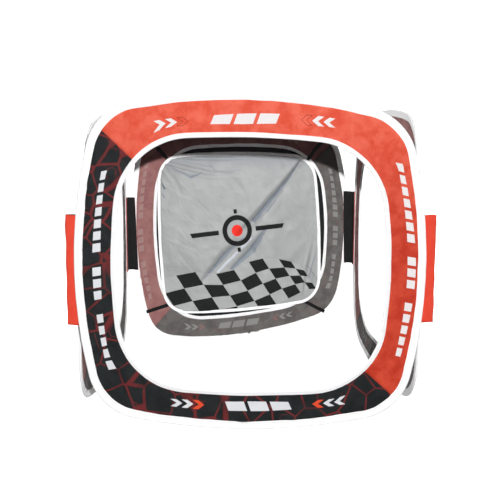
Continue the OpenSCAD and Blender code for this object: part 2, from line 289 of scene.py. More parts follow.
def sheet_mesh(name, top, bottom, materials, uvs):
    """A closed thin sheet from two grids of points (rows, cols, 3). Its second material is on the bottom."""
    rows, cols = top.shape[:2]
    n = rows * cols
    points = np.concatenate([top.reshape(-1, 3), bottom.reshape(-1, 3)])
    front = grid_faces(rows, cols)
    back = grid_faces(rows, cols, start=n, flip=True)
    idx = np.arange(n).reshape(rows, cols)
    rim = np.concatenate([idx[:-1, 0], idx[-1, :-1], idx[:0:-1, -1], idx[0, :0:-1]])
    nxt = np.roll(rim, -1)
    sides = np.stack([rim + n, nxt + n, nxt, rim], 1)
    faces = np.concatenate([front, back, sides])
    slots = np.concatenate([np.zeros(len(front)), np.ones(len(back)) * (len(materials) > 1), np.zeros(len(sides))])
    both = {k: np.concatenate([v.reshape(-1, 2)] * 2) for k, v in uvs.items()}
    return mesh_object(name, points, faces, materials, slots, both)


def face_outwards(ob):
    """Turns the faces of a closed mesh outwards, by its signed volume."""
    me = ob.data
    me.calc_loop_triangles()
    co = np.zeros(len(me.vertices) * 3)
    me.vertices.foreach_get("co", co)
    tri = np.zeros(len(me.loop_triangles) * 3, np.int32)
    me.loop_triangles.foreach_get("vertices", tri)
    a, b, c = np.moveaxis(co.reshape(-1, 3)[tri.reshape(-1, 3)], 1, 0)
    if np.einsum("ij,ij->i", a, np.cross(b, c)).sum() < 0:
        me.flip_normals()


def settle(ob, ring, slot, *nodes):
    """Turns a piece's faces outwards and says its ring and the CAD nodes it stands for; slot is not used."""
    face_outwards(ob)
    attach(ob, f"{ring}_ring")
    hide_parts(*nodes)


def swept(name, ring, place, sections, uv, look, slot, node, closed=True, smooth=True):
    """A solid swept along an array of a ring's or the target's points (stations, section points, 3)."""
    rows, cols = sections.shape[:2]
    world = (place or on_ring(ring))(sections.reshape(-1, 3))
    faces = [tuple(f) for f in grid_faces(rows, cols, wrap_rows=closed, wrap_cols=True)]
    if not closed:
        faces.append(tuple(range(cols)))
        faces.append(tuple(range(rows * cols - 1, (rows - 1) * cols - 1, -1)))
    ob = mesh_object(name, world, faces, [LOOKS[look]], uvs={"cap": uv.reshape(-1, 2)}, smooth=smooth)
    settle(ob, ring, slot, node)


# ---------------- node materials

INPUTS = {"base": "Base Color", "rough": "Roughness", "metal": "Metallic", "sheen": "Sheen Weight",
          "sheen_rough": "Sheen Roughness", "spec": "Specular IOR Level", "normal": "Normal",
          "glow": "Emission Strength", "glow_colour": "Emission Color"}
WHITE = (1, 1, 1, 1)


def plug(tree, socket, value):
    """Links a Val or a socket to a node's input, or sets the input to a number or a colour."""
    value = value.out if isinstance(value, Val) else value
    if isinstance(value, bpy.types.NodeSocket):
        tree.links.new(value, socket)
    else:
        socket.default_value = value


def add_node(tree, kind, inputs=(), **attributes):
    """A new node. inputs is pairs of an input's number or name and what to plug in."""
    node = tree.nodes.new(kind)
    for key, value in attributes.items():
        setattr(node, key, value)
    for key, value in inputs:
        plug(tree, node.inputs[key], value)
    return node


class Val:
    """A number in a node tree, with arithmetic."""

    def __init__(self, tree, out):
        self.tree, self.out = tree, out

    def op(self, name, *others):
        node = add_node(self.tree, "ShaderNodeMath", enumerate((self, *others)), operation=name)
        return Val(self.tree, node.outputs[0])

    def __add__(self, o): return self.op("ADD", o)
    def __sub__(self, o): return self.op("SUBTRACT", o)
    def __mul__(self, o): return self.op("MULTIPLY", o)
    def __truediv__(self, o): return self.op("DIVIDE", o)
    def less(self, o): return self.op("LESS_THAN", o)
    def more(self, o): return self.op("GREATER_THAN", o)
    def abs(self): return self.op("ABSOLUTE")
    def floor(self): return self.op("FLOOR")
    def fract(self): return self.op("FRACT")
    def max(self, o): return self.op("MAXIMUM", o)
    def inverse(self): return self.op("MULTIPLY_ADD", -1.0, 1.0)

    def ramp(self, lo, hi, a=0.0, b=1.0):
        """a below lo, b above hi, and a smooth step between."""
        values = enumerate((self, lo, hi, a, b))
        return Val(self.tree, add_node(self.tree, "ShaderNodeMapRange", values,
                                       interpolation_type="SMOOTHSTEP").outputs[0])


class Look:
    """One node material."""

    def __init__(self, name):
        self.material = bpy.data.materials.new(name)
        self.material.use_nodes = True
        self.tree = self.material.node_tree
        self.height = None

    def node(self, kind, inputs=(), **attributes):
        return add_node(self.tree, kind, inputs, **attributes)

    def set(self, **values):
        """Sets or links inputs of the surface shader."""
        for key, value in values.items():
            plug(self.tree, self.tree.nodes["Principled BSDF"].inputs[INPUTS[key]], value)

    def uv(self, name):
        where = self.node("ShaderNodeUVMap", uv_map=name).outputs[0]
        split = self.node("ShaderNodeSeparateXYZ", [(0, where)])
        return Val(self.tree, split.outputs[0]), Val(self.tree, split.outputs[1])

    def vector(self, x, y):
        return self.node("ShaderNodeCombineXYZ", enumerate((x, y))).outputs[0]

    def noise(self, size, detail=2.0, rough=0.5, where=None, distort=0.0):
        """Smooth noise over the object's own coordinates, unless where says others."""
        where = where or self.node("ShaderNodeTexCoord").outputs["Object"]
        values = {"Vector": where, "Scale": 1 / size, "Detail": detail, "Roughness": rough, "Distortion": distort}
        return Val(self.tree, self.node("ShaderNodeTexNoise", values.items()).outputs[0])

    def cells(self, size, where, random):
        """Distance to the nearest edge between random cells."""
        values = {"Vector": where, "Scale": 1 / size, "Randomness": random}
        node = self.node("ShaderNodeTexVoronoi", values.items(), feature="DISTANCE_TO_EDGE")
        return Val(self.tree, node.outputs["Distance"])

    def colour(self, a, b, factor):
        """Colour a where factor is 0, b where it is 1."""
        return self.node("ShaderNodeMix", ((0, factor), (6, a), (7, b)), data_type="RGBA").outputs[2]

    def relief(self, height, distance, strength):
        """Adds a bump, under any there already is."""
        values = {"Height": height, "Distance": distance, "Strength": strength}
        if self.height is not None:
            values["Normal"] = self.height
        self.height = self.node("ShaderNodeBump", values.items()).outputs[0]
        self.set(normal=self.height)

    def weave(self, x, y, pitch, distance, strength):
        """A plain weave from two crossed waves, over a pair of coordinates in metres."""
        k = 2 * math.pi / pitch
        self.relief((x * k).op("SINE") * (y * k).op("SINE") * 0.5 + 0.5, distance, strength)


def strip(x, y, waver, ends, width):
    """1 on a tapering strip from one point to another, with a soft edge and wavering sides. Width is at each end."""
    x0, y0, x1, y1 = ends
    dx, dy = x1 - x0, y1 - y0
    size = math.hypot(dx, dy)
    t = (x - x0) * (dx / size ** 2) + (y - y0) * (dy / size ** 2)
    side = (x - x0) * (dy / size) - (y - y0) * (dx / size)
    half = t * (width[1] - width[0]) + width[0]
    inside = (half - (side + waver).abs()).ramp(0.0, 0.0012)
    return inside * t.more(-0.02) * t.less(1.02)


EXPOSED = 0.80       # how much darker than its lit look each cloth is, so that the lights can burn out the white


def linear(r, g, b, share=EXPOSED):
    """sRGB 0 to 255 as linear colour, with alpha."""
    return (*(((c / 255 + 0.055) / 1.055) ** 2.4 * share for c in (r, g, b)), 1.0)


# Print on the cloth, in metres. "cap" counts along the band from the print's middle on the top or bottom, "side" from
# its middle on the side, and both count across from the middle of the band's visible width.
CAP_LEVEL = 0.005
CHEVRON_PITCH, CHEVRON_STROKE, CHEVRON_HALF = 0.0240, 0.0125, 0.0146
CHEVRON_FIRST, CHEVRON_SLOPE, CHEVRON_EDGE = 0.119, 0.88, 0.0014
# A bar's and a block's half length are shares of the pitch
BAR_PITCH, BAR_SLANT, BAR_HALF_LEN, BAR_HALF_H = 0.049, 0.35, 0.42, 0.0110
BLOCK_PITCH, BLOCK_COUNT, BLOCK_SLANT, BLOCK_HALF_LEN, BLOCK_HALF_W = 0.0256, 17, 0.16, 0.36, 0.0088
BLOCK_GAPS = (7, 11)                 # blocks that are left out
WOVEN = {"spec": 0.06, "sheen": 0.02, "sheen_rough": 0.4}


def chevrons(s, w):
    """Masks of the two plain chevrons, of the third, and of its edge, on both sides of the middle, pointing at it."""
    rise = (w - CAP_LEVEL).abs()
    inside = rise.less(CHEVRON_HALF)
    lean = s.abs() - rise * CHEVRON_SLOPE - CHEVRON_FIRST
    index = (lean / CHEVRON_PITCH).floor()
    local = lean - index * CHEVRON_PITCH
    stroke = local.less(CHEVRON_STROKE) * inside
    plain = stroke * index.more(0.5) * index.less(2.5)
    third = stroke * index.more(-0.5) * index.less(0.5)
    edge = (local - CHEVRON_STROKE / 2).abs().more(CHEVRON_STROKE / 2 - CHEVRON_EDGE)
    return plain, third, edge.max(rise.more(CHEVRON_HALF - CHEVRON_EDGE))


def cap_bars(s, w):
    """Three slanted bars in the middle of the top or bottom."""
    x = s + (w - CAP_LEVEL) * BAR_SLANT
    local = ((x / BAR_PITCH) + 0.5).fract() - 0.5
    return local.abs().less(BAR_HALF_LEN) * x.abs().less(BAR_PITCH * 1.5) * (w - CAP_LEVEL).abs().less(BAR_HALF_H)


def side_blocks(s, w):
    """A ladder of short slanted blocks along the side, in three groups."""
    t = (s + w * BLOCK_SLANT) / BLOCK_PITCH + BLOCK_COUNT / 2
    mask = (t.fract() - 0.5).abs().less(BLOCK_HALF_LEN) * w.abs().less(BLOCK_HALF_W)
    mask = mask * t.more(0.0) * t.less(float(BLOCK_COUNT))
    for gap in BLOCK_GAPS:
        mask = mask * (t.floor() - float(gap)).abs().more(0.5)
    return mask


def crack_lines(look):
    """The cracked pattern of the black cloth, 0 to 1, with lines that fade in and out."""
    x, y = look.uv("plan")
    bend = look.noise(0.06, 1.0, 0.5, look.vector(x, y))
    edge = look.cells(0.054, look.vector(x + (bend - 0.5) * 0.010, y - (bend - 0.5) * 0.010), random=0.72)
    fine = look.cells(0.036, look.vector(x + 3.1, y + 1.7), random=0.8)
    fade = look.noise(0.070, 1.0, 0.5, look.vector(x + 9.0, y))
    main = edge.ramp(0.019, 0.053, 1.0, 0.0) * fade.ramp(0.32, 0.54, 0.35, 1.0)
    side = fine.ramp(0.012, 0.036, 1.0, 0.0) * fade.ramp(0.58, 0.66, 0.0, 0.7)
    return main.max(side)


def cloth_look(name, kind, inside=False):
    """Printed polyester satin. kind is red or black; inside is the reverse, where the print shows through faintly."""
    look = Look(name)
    s_cap, w = look.uv("cap")
    s_side, _ = look.uv("side")
    tone = look.noise(0.030, 3.0, 0.6, distort=0.25).ramp(0.30, 0.70)
    plain, third, edge = chevrons(s_cap, w)
    marks = plain.max(cap_bars(s_cap, w)).max(side_blocks(s_side, w))

    def over(ground, r, g, b, mask):
        return look.colour(ground, linear(r, g, b), mask)

    def mottled(light, dark):
        return look.colour(linear(*light), linear(*dark), tone)
    if kind == "red" and inside:
        ground = over(mottled((164, 118, 114), (148, 102, 101)), 140, 90, 88, (third * edge) * 0.5)
        colour = over(ground, 178, 150, 146, marks * 0.55)
    elif kind == "red":
        # painted light and shade: a lit copy of the red at the top, a darker shaded copy lower down the side
        painted_lit_red_top, painted_shaded_red_side = mottled((255, 118, 94), (240, 90, 64)), mottled((220, 78, 54), (199, 56, 35))
        ground = look.colour(painted_lit_red_top, painted_shaded_red_side, s_side.ramp(-0.39, 0.01))
        colour = over(over(ground, 150, 44, 36, third * edge), 252, 246, 246, marks)
    elif inside:
        ground = over(mottled((112, 109, 106), (94, 91, 90)), 116, 98, 96, crack_lines(look) * 0.40)
        colour = over(over(ground, 150, 110, 106, third * 0.6), 158, 158, 155, marks * 0.65)
    else:
        ground = over(mottled((33, 36, 37), (24, 27, 28)), 116, 44, 46, crack_lines(look) * 0.9)
        colour = over(over(ground, 240, 84, 50, third), 236, 238, 242, marks)
    look.set(base=colour, rough=tone * 0.14 + (0.66 if inside else 0.52), **WOVEN)
    look.weave(*look.uv("plan"), 0.0009, 0.00012, 0.5)
    look.relief(look.noise(0.012, 3.0, 0.5), 0.0009, 0.4)
    look.relief(look.noise(0.040, 2.0, 0.6, distort=1.2), 0.0045, 0.45)
    return look.material


BINDING_SHARE = 0.95                 # the bindings' share of their colour, in place of EXPOSED
RIB_PITCH, STITCH_PITCH = 0.0016, 0.0034
STITCH_AT = 0.83                     # of the binding's width


def binding_look(name):
    """White folded ribbon: fine ribs across it and a line of stitches near its inner edge."""
    look = Look(name)
    s, w = look.uv("cap")
    rib = (s * (2 * math.pi / RIB_PITCH)).op("SINE") * 0.5 + 0.5
    line = (w - STITCH_AT).abs().less(0.035)
    stitch = line * ((s / STITCH_PITCH).fract() - 0.5).abs().less(0.36)
    tone = look.noise(0.06, 3.0, 0.55)
    near, far, painted_stitch_shade, thread = (linear(*c, BINDING_SHARE) for c in
                               ((253, 253, 253), (247, 247, 248), (228, 229, 231), (255, 255, 255)))
    # painted shade: a greyer line in the groove along the stitches, where the ribbon is pulled in
    ground = look.colour(look.colour(near, far, tone), painted_stitch_shade, line * 0.6)
    look.set(base=look.colour(ground, thread, stitch), rough=tone * 0.15 + 0.52, spec=0.35, sheen=0.15, sheen_rough=0.5)
    look.relief(rib, 0.00018, 0.6)
    look.relief(stitch, 0.0004, 0.8)
    look.relief(look.noise(0.009, 2.0, 0.5), 0.0006, 0.3)
    return look.material


def ribbon_look(name, light, dark, pitch=0.0012, rough=0.5, crush=0.35):
    """Plain woven tape."""
    look = Look(name)
    s, w = look.uv("cap")
    tone = look.noise(0.025, 4.0, 0.6)
    look.set(base=look.colour(linear(*light), linear(*dark), tone), rough=tone * 0.15 + rough, **WOVEN)
    look.weave(s, w, pitch, 0.00015, 0.6)
    look.relief(look.noise(0.010, 4.0, 0.6), 0.0012, crush)
    return look.material


def steel_look():
    look = Look("hoop_spring_steel")
    s, w = look.uv("cap")
    grain = look.noise(0.002, 2.0, 0.6, look.vector(s * 0.05, w))
    look.set(base=look.colour(linear(150, 154, 160), linear(118, 122, 128), grain), rough=grain * 0.2 + 0.28, metal=1.0)
    look.relief(grain, 0.00005, 0.4)
    return look.material


# Painted reflections in the silver cloth's colour, beside its folds: facets that mirror a darker or a lighter part
# of the surroundings. For each: from and to (across, up, across, up), half width at each end, and colour
PAINTED_FOLD_REFLECTIONS = [
    ((0.236, 0.252, 0.168, 0.163), (0.0012, 0.0060), (112, 118, 125)),
    ((0.168, 0.163, 0.050, 0.036), (0.0060, 0.0085), (113, 119, 127)),
    ((0.158, 0.138, 0.098, 0.066), (0.0010, 0.0036), (122, 128, 135)),
    ((0.100, 0.020, 0.040, -0.060), (0.0050, 0.0120), (117, 123, 130)),
    ((0.040, -0.060, -0.034, -0.120), (0.0120, 0.0060), (120, 127, 133)),
    ((0.012, -0.020, -0.050, -0.068), (0.0040, 0.0080), (119, 125, 132)),
    ((-0.050, -0.068, -0.124, -0.142), (0.0095, 0.0040), (119, 125, 132)),
    ((0.036, -0.022, -0.080, -0.126), (0.0050, 0.0045), (168, 173, 179)),
    ((-0.250, 0.226, -0.160, 0.182), (0.0020, 0.0055), (126, 131, 136)),
    ((-0.160, 0.182, -0.120, 0.196), (0.0045, 0.0020), (115, 121, 127)),
    ((-0.230, 0.238, -0.090, 0.214), (0.0015, 0.0040), (129, 134, 137)),
    ((-0.110, 0.192, 0.010, 0.202), (0.0014, 0.0014), (127, 133, 138)),
    ((-0.262, 0.170, -0.250, 0.146), (0.0015, 0.0040), (99, 105, 113)),
    ((-0.262, 0.135, -0.254, 0.118), (0.0012, 0.0030), (104, 111, 118)),
    ((0.232, -0.170, 0.262, -0.080), (0.0045, 0.0015), (124, 128, 132)),
]


# The aiming mark: its middle (across, up) and its turn, then the sizes of its ring, dot, two bars and two ticks
MARK_AT, MARK_TURN = (-0.008, 0.006), math.radians(4)
MARK_RING, MARK_STROKE, MARK_DOT = 0.043, 0.008, 0.019
MARK_BAR_HALF, MARK_BAR_FROM, MARK_BAR_TO, MARK_BAR_CUT = 0.0075, 0.064, 0.168, 0.160
MARK_TICK_HALF, MARK_TICK_FROM, MARK_TICK_TO = 0.0055, 0.056, 0.070
FLAG_COLUMNS, FLAG_ROWS = 9, 4


def silver_look():
    """Silver-coated cloth with the chequered print and the aiming mark, painted reflections beside its folds and
    painted shade along its top.
    """
    look = Look("silver_coated_cloth")
    x, y = look.uv("cap")
    col, row = look.uv("flag")
    tone = look.noise(0.045, 4.0, 0.6)
    ground = look.colour(linear(150, 151, 151), linear(140, 142, 142), tone)
    # painted shade: the silver cloth is darker along its top
    ground = look.colour(ground, linear(133, 136, 139), y.ramp(0.190, 0.250))
    waver = (look.noise(0.022, 2.0, 0.6) - 0.5) * 0.010 * 0.6
    # painted reflections: darker and lighter strips beside the folds
    for ends, width, shade in PAINTED_FOLD_REFLECTIONS:
        ground = look.colour(ground, linear(*shade), strip(x, y, waver, ends, width))
    inside = col.more(0.0) * col.less(float(FLAG_COLUMNS)) * row.more(0.0) * row.less(float(FLAG_ROWS))
    odd = ((col.floor() + row.floor()) / 2.0).fract().more(0.25)
    flag = inside * odd
    ground = look.colour(ground, linear(158, 159, 159), inside * odd.inverse() * 0.5)
    colour = look.colour(ground, linear(22, 24, 23), flag)
    mx, my = x - MARK_AT[0], y - MARK_AT[1]
    u = mx * math.cos(MARK_TURN) + my * math.sin(MARK_TURN)
    v = my * math.cos(MARK_TURN) - mx * math.sin(MARK_TURN)
    r = (u * u + v * v).op("SQRT")
    ring = (r - MARK_RING).abs().less(MARK_STROKE)
    bars = v.abs().less(MARK_BAR_HALF) * u.abs().more(MARK_BAR_FROM) * u.abs().less(MARK_BAR_TO)
    bars = bars * (u.abs() - v * 0.5).less(MARK_BAR_CUT)
    ticks = u.abs().less(MARK_TICK_HALF) * v.abs().more(MARK_TICK_FROM) * v.abs().less(MARK_TICK_TO)
    colour = look.colour(colour, linear(20, 21, 21), ring.max(bars).max(ticks))
    ink = flag.max(ring).max(bars)
    look.set(base=look.colour(colour, linear(206, 44, 34), r.less(MARK_DOT)), rough=(tone * 0.14 + 0.50) + ink * 0.08,
             metal=ink * -0.30 + 0.30, spec=0.08)
    look.weave(x, y, 0.0008, 0.00008, 0.4)
    look.relief(look.noise(0.012, 2.0, 0.5, distort=1.5), 0.0010, 0.30)
    look.relief(look.noise(0.050, 3.0, 0.55, look.vector(x + y, (y - x) * 0.45), distort=1.0), 0.0060, 0.40)
    return look.material


LOOKS = {
    "red": (cloth_look("red_cloth_print", "red"), cloth_look("red_cloth_reverse", "red", True)),
    "black": (cloth_look("black_cloth_print", "black"), cloth_look("black_cloth_reverse", "black", True)),
    "binding": binding_look("white_ribbed_binding"),
    "red_tape": ribbon_look("red_hinge_tape", (250, 88, 66), (234, 64, 44)),
    "black_tape": ribbon_look("black_hinge_tape", (30, 30, 31), (20, 20, 21)),
    "back_sheet": ribbon_look("black_back_cloth", (36, 36, 38), (27, 27, 29), 0.0009, 0.55, 0.3),
    "strap": ribbon_look("black_strap_webbing", (28, 28, 29), (18, 18, 19), 0.0016, 0.62, 0.5),
    "steel": steel_look(),
    "silver": silver_look(),
}


# ---------------- bindings and hoops

def binding_section(width, bead, flap, points=9):
    """(across, thickness) round a folded tape: along one flap, round the bead, back along the other."""
    half, thin = bead / 2, flap / 2
    nose = np.linspace(0, math.pi / 2, points)
    xs = [width, width * 0.86, width * 0.80, width * (0.55 if width > 0.012 else 0.70)]
    ns = [thin * 0.75, thin, thin * 0.72, thin * 1.15]
    top = [*zip(xs, ns), (half * 1.25, half * 0.97)]
    top += [(half - half * math.sin(a), half * math.cos(a) ** 0.9 if math.cos(a) > 1e-6 else 0.0) for a in nose]
    return np.array(top + [(x, -n) for x, n in top[-2::-1]])


PUCKER, PUCKER_PITCH = 0.00045, 0.0113     # ripples of a binding's free edge at the corners


def make_binding(name, ring, chain, side, width, drop, node, seed, place=None, counts=RING_COUNTS, bead=BEAD_T,
                 flap=FLAP_T):
    """A folded ribbon round an outline. side -1 hangs inwards from it, 1 outwards."""
    p, nrm = sample(chain, counts)
    p = p + drop
    run = along(p)
    s, total = run[:-1], run[-1]
    section = binding_section(width, bead, flap)
    # corners pucker: the ribbon's free edge ripples where it has to go round
    turn = np.concatenate([np.full(n, 1.0 if a[2] < 0.3 else 0.0) for a, n in zip(chain, counts)])
    turn = np.convolve(np.concatenate([turn[-4:], turn, turn[:4]]), np.ones(9) / 9, "valid")
    rip = np.sin(2 * math.pi * s / PUCKER_PITCH + 1.7 * np.sin(2 * math.pi * s / 0.071)) * turn
    waves = wavy(seed, 7, 0.035, 0.16)
    circle = total / (2 * math.pi)
    wx, wy = circle * np.cos(s / circle), circle * np.sin(s / circle)
    out = np.zeros((len(p), len(section), 3))
    uv = np.zeros((len(p), len(section), 2))
    for j, (x, n) in enumerate(section):
        share = x / width
        across = side * (x + 0.0007 * share * waves(wx, wy) - 0.0003 * waves(wx + 1, wy))
        thick = n * (1 + 0.10 * waves(wx - 2, wy)) + rip * PUCKER * share + 0.0004 * waves(wx, wy + 2) * (1 - share)
        out[:, j, :2] = p + nrm * across[:, None]
        out[:, j, 2] = thick
        uv[:, j] = np.stack([s, np.full(len(s), share)], 1)
    swept(name, ring, place, out, uv, "binding", "white_binding", node)


def make_hoop(name, ring, chain, side, drop, node, place=None, thick=0.001, high=0.004, middle=0.0024):
    """A strip of spring steel in a binding's bead, whose two ends meet at the bottom middle."""
    p, nrm = sample(chain, counts_for(chain, 0.016))
    p = p + drop
    start = int(np.argmin(p[:, 1] + np.abs(p[:, 0]) * 2))
    order = (np.arange(len(p)) + start) % len(p)
    p, nrm = p[order], nrm[order]
    out = np.zeros((len(p), 4, 3))
    for j, (x, n) in enumerate(((-1, -1), (1, -1), (1, 1), (-1, 1))):
        out[:, j, :2] = p + nrm * (middle * side + x * thick / 2)
        out[:, j, 2] = n * high / 2
    s = along(p)[:-1]
    uv = np.stack([np.repeat(s, 4), np.tile([0, 0.001, 0.005, 0.006], len(s))], 1)
    swept(name, ring, place, out, uv, "steel", "hoop_steel", node, closed=False, smooth=False)


SLEEVE_LEN, SLEEVE_SIDES = 0.036, 12


def make_sleeve(name, ring, chain, side, drop, node, place=None, thick=0.0017, high=0.0046, middle=0.0024):
    """The sleeve that joins a hoop's two ends."""
    p, nrm = sample(chain, counts_for(chain, 0.004))
    p = p + drop
    near = (np.abs(p[:, 0]) < SLEEVE_LEN / 2) & (p[:, 1] < 0)
    p, nrm = p[near], nrm[near]
    order = np.argsort(p[:, 0])
    p, nrm = p[order], nrm[order]
    out = np.zeros((len(p), SLEEVE_SIDES, 3))
    for j in range(SLEEVE_SIDES):
        a = 2 * math.pi * (j + 0.5) / SLEEVE_SIDES
        sx, sn = (math.copysign(abs(c) ** 0.4, c) for c in (math.cos(a), math.sin(a)))
        out[:, j, :2] = p + nrm * (middle * side + sx * thick / 2)
        out[:, j, 2] = sn * high / 2
    uv = np.stack([np.repeat(p[:, 0], SLEEVE_SIDES), np.tile(np.linspace(0, 0.01, SLEEVE_SIDES), len(p))], 1)
    swept(name, ring, place, out, uv, "steel", "hoop_steel", node, closed=False)


# ---------------- printed cloth bands

BAND_STEPS = 14
# Split arcs that each half of a band runs over: the right side, top and their corners, or the left and bottom
HALVES = {"red": (9, 0, 1, 2, 3), "black": (4, 5, 6, 7, 8)}
# Where each half's print lies: along the top or bottom and its slope, along the side
CAP_SHIFT = {"red": 0.0175, "black": -0.0165}
CAP_TILT = {"red": 0.045, "black": 0.0}
SIDE_SHIFT = {"red": 0.0134, "black": -0.0195}
SEAM_LAP, SEAM_UNDER, SEAM_FLAT = 0.0012, 0.0005, 0.02     # the black half's lap, its depth, and how far both lie flat


def make_band(ring, half, seed):
    """One half of a ring's printed band, tucked into both bindings, with its own billow and creases."""
    order = HALVES[half]
    outer = [RING_CHAIN[i] for i in order]
    inner = [OPEN_CHAIN[i] for i in order]
    counts = [RING_COUNTS[i] for i in order]
    po, _ = sample(outer, counts, -BEAD_REACH)
    pi, _ = sample(inner, counts, BEAD_REACH)
    pi = pi + DROP
    ends = []
    for chain, off, drop in ((outer, -BEAD_REACH, 0), (inner, BEAD_REACH, DROP)):
        cx, cy, r, start, sweep = chain[-1]
        a = start + sweep
        ends.append(np.array([cx + (r + off) * math.cos(a), cy + (r + off) * math.sin(a)]) + drop)
    po, pi = np.vstack([po, ends[0]]), np.vstack([pi, ends[1]])
    if half == "black":
        # it laps under the red half at both seams
        ends = [[end + SEAM_LAP * (end - near) / np.linalg.norm(end - near) for end, near in pairs]
                for pairs in (((po[0], po[1]), (pi[0], pi[1])), ((po[-1], po[-2]), (pi[-1], pi[-2])))]
        po, pi = (np.vstack([ends[0][k], q, ends[1][k]]) for k, q in enumerate((po, pi)))
    k = np.linspace(0, 1, BAND_STEPS + 1)
    grid = po[:, None, :] * (1 - k)[None, :, None] + pi[:, None, :] * k[None, :, None]
    width = np.linalg.norm(po - pi, axis=1)
    s = along((po + pi) / 2, closed=False)
    across = width[:, None] * (k[None, :] - 0.5) - (BINDING_W - OPEN_BINDING_W) / 2
    u, v = grid[..., 0], grid[..., 1]
    uvs = {
        "cap": np.stack([u + CAP_SHIFT[half], across + CAP_TILT[half] * u], 2),
        "side": np.stack([SIDE_SHIFT[half] - v, across], 2),
        "plan": np.stack([u + 0.9 * (seed % 7), v + 0.7 * (seed % 5)], 2),
    }
    free = np.sin(math.pi * k)[None, :] ** 0.8
    billow = wavy(seed, 6, 0.10, 0.30)(u, v)
    crease = wavy(seed + 50, 9, 0.022, 0.06)(u, v)
    fold = 1 - np.abs(wavy(seed + 90, 6, 0.05, 0.12)(u, v)) * 2
    n = free * (0.0016 * billow + 0.00055 * crease + 0.0011 * np.clip(fold, 0, 1) ** 3)
    # flat where it is sewn to the other half
    n = n * np.clip(np.minimum(s, s[-1] - s) / SEAM_FLAT, 0, 1)[:, None]
    if half == "black":
        n[0], n[1], n[-2], n[-1] = SEAM_UNDER, 0, 0, SEAM_UNDER
    outside, inside = two_faces(on_ring(ring), u, v, n, CLOTH_T)
    ob = sheet_mesh(f"{ring}_{half}_cloth", outside, inside, list(LOOKS[half]), uvs)
    settle(ob, ring, f"{half}_cloth", f"{ring}_{half}_panel")
    wide = float(width.max())


for i, ring in enumerate(RINGS):
    outer, opening = (RING_CHAIN, -1), (OPEN_CHAIN, 1)
    make_binding(f"{ring}_outer_ribbon", ring, *outer, BINDING_W, 0, f"{ring}_outer_binding", 31 + i)
    make_binding(f"{ring}_opening_ribbon", ring, *opening, OPEN_BINDING_W, DROP, f"{ring}_inner_binding", 41 + i)
    make_hoop(f"{ring}_outer_steel", ring, *outer, 0, f"{ring}_outer_hoop")
    make_hoop(f"{ring}_opening_steel", ring, *opening, DROP, f"{ring}_inner_hoop")
    make_sleeve(f"{ring}_outer_sleeve", ring, *outer, 0, f"{ring}_hoop_sleeves")
    make_sleeve(f"{ring}_opening_sleeve", ring, *opening, DROP, f"{ring}_hoop_sleeves")
    make_band(ring, "red", 200 + 7 * i)
    make_band(ring, "black", 300 + 7 * i)


# ---------------- hinge tapes

# How far in from a ring's edge a tape reaches, as steps towards the edge
FLAP_STEPS = (-0.018, -0.012, -0.006, 0.0)
SEWN_GAP, LAYER_GAP = 0.0001, 0.00005      # from a binding to the red layer, and from each layer to the tape's middle
TAPE_LEVEL = BEAD_T / 2 + SEWN_GAP + TAPE_T + LAYER_GAP
# The fin a tape makes past the front or back ring's edge, out to its tip and back: (past the edge, inwards)
FINS = {
    "front": [(0.006, 0.0041), (0.013, 0.0042), (0.020, 0.0044), (0.0245, 0.0047),
              (0.0264, 0.0053), (0.0270, 0.0064), (0.0264, 0.0075),
              (0.0240, 0.0082), (0.018, 0.0088), (0.011, 0.0094), (0.0068, 0.0106), (0.0050, 0.0132)],
    "back": [(0.010, TAPE_LEVEL), (0.026, 0.0052), (0.027, 0.0068), (0.025, 0.0086)],
}
FIN_TIP_X = {"front": 0.4062, "back": 0.386}     # how far across the cube the fins' tips are
TAPE_ROWS, TAPE_STATIONS = 56, 74
AXIS_PAST, BACK_AXIS_IN = 0.001, 0.008     # how far from a hinge axis the cloth is: in x and y, more in x at left back
BLEND_IN, BLEND_END_Y = 0.0112, 0.381      # the stretch that bends: its start, inside the tape's first point; its end
TAPE_RIPPLE, END_WAVER = 0.0007, 0.0013


def curve_through(points, count):
    """A smooth line through rows of points (stations, heights, 3), resampled to even spacing."""
    middle = points[:, points.shape[1] // 2]
    run = along(middle, closed=False)
    at = np.linspace(0, run[-1], count)
    slope = np.gradient(points, run, axis=0)
    i = np.clip(np.searchsorted(run, at, "right") - 1, 0, len(run) - 2)
    h = (run[i + 1] - run[i])[:, None, None]
    t = ((at - run[i]) / (run[i + 1] - run[i]))[:, None, None]
    return ((2 * t ** 3 - 3 * t ** 2 + 1) * points[i] + (t ** 3 - 2 * t ** 2 + t) * h * slope[i]
            + (3 * t ** 2 - 2 * t ** 3) * points[i + 1] + (t ** 3 - t ** 2) * h * slope[i + 1])


def tape_rows(ring, edge, z, steps):
    """World points of a tape's middle at steps (past the ring's edge, inwards), for each height."""
    steps = np.array(steps)
    uu, zz = np.meshgrid(edge * (HALF_W + steps[:, 0]), z, indexing="ij")
    nn = np.repeat(steps[:, 1][:, None], len(z), 1)
    # past the edge the cloth's pull is the edge's own
    held = np.clip(uu, -HALF_W, HALF_W)
    p = placed(ring, held, zz - MID_Z - LIFT[ring], nn).reshape(*uu.shape, 3)
    if ring in FIN_TIP_X:
        side = np.sign(p[..., 0])
        stretch = (FIN_TIP_X[ring] - np.abs(p[..., 0])) / FIN
        p[..., 0] += side * np.abs(uu - held) * stretch
    p[..., 2] = zz
    return p


def other(ring, corner):
    """The end of a ring that a corner is at, as the CAD nodes name it."""
    first, second = corner.split("_")
    return second if first == ring else first


